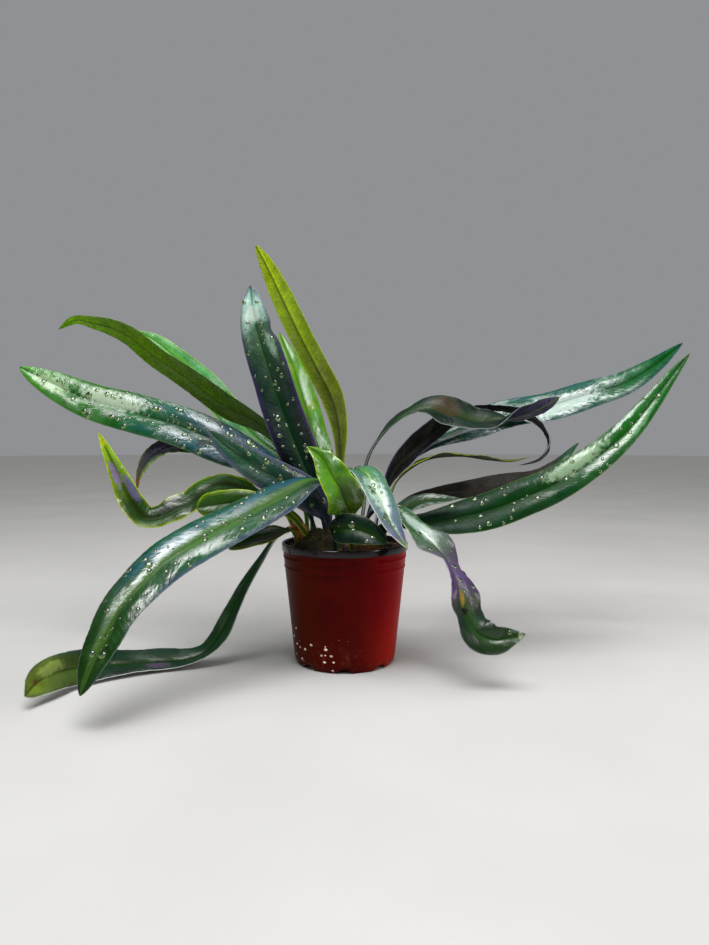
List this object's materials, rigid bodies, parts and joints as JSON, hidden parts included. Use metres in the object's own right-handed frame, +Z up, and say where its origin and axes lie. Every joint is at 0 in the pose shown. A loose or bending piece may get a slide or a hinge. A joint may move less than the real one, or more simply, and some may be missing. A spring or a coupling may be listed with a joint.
{
  "type": "potted blue oil fern",
  "caption": "Potted fern with long, leathery, blue-green strap fronds that arch and droop from a creeping rhizome in a thin red nursery pot.",
  "frame": {"origin": "on the floor, under the pot's axis and the middle of the plant's width and depth", "axes": "+Z up; +X to the right as the plant is seen from the front, along its greatest width; +Y away from the viewer"},
  "size_m": [0.5056, 0.268, 0.2933],
  "materials": {
    "pot_plastic": "satin red outside, near-black inside and on the lip",
    "potting_bark": "damp dark bark and fibre",
    "rhizome_skin": "matte brown with papery scales",
    "blade_blue": "thick glossy blade with cobalt-blue bands beside the midrib",
    "blade_green": "thick glossy deep green blade",
    "blade_teal": "thick glossy blue-green blade with violet margins",
    "blade_lime": "young yellow-green blade, glossy",
    "blade_violet": "glossy blade flushed violet and brown, with dry damaged patches"
  },
  "bodies": {
    "root": {"pot": "pot_plastic", "soil": "potting_bark", "rhizome": "rhizome_skin", "frond_upright_lime": "blade_lime", "frond_standing_blue": "blade_teal", "frond_behind_pale": "blade_green", "frond_lime_arch": "blade_lime", "frond_pale_back": "blade_green", "frond_long_left": "blade_blue", "frond_violet_left": "blade_teal", "frond_front_arch": "blade_blue", "frond_upturned": "blade_green", "frond_violet_arch": "blade_violet", "frond_short_lime": "blade_lime", "frond_low_left": "blade_green", "frond_trailing": "blade_green", "frond_young_crumpled": "blade_lime", "frond_centre_droop": "blade_teal", "frond_damaged_right": "blade_violet", "frond_long_right": "blade_green", "frond_short_right": "blade_green", "frond_long_back": "blade_green", "frond_twisted_right": "blade_teal", "frond_hooked": "blade_violet", "frond_ribbon": "blade_lime", "frond_under_right": "blade_violet", "frond_low_centre": "blade_green"}
  },
  "joints": []
}
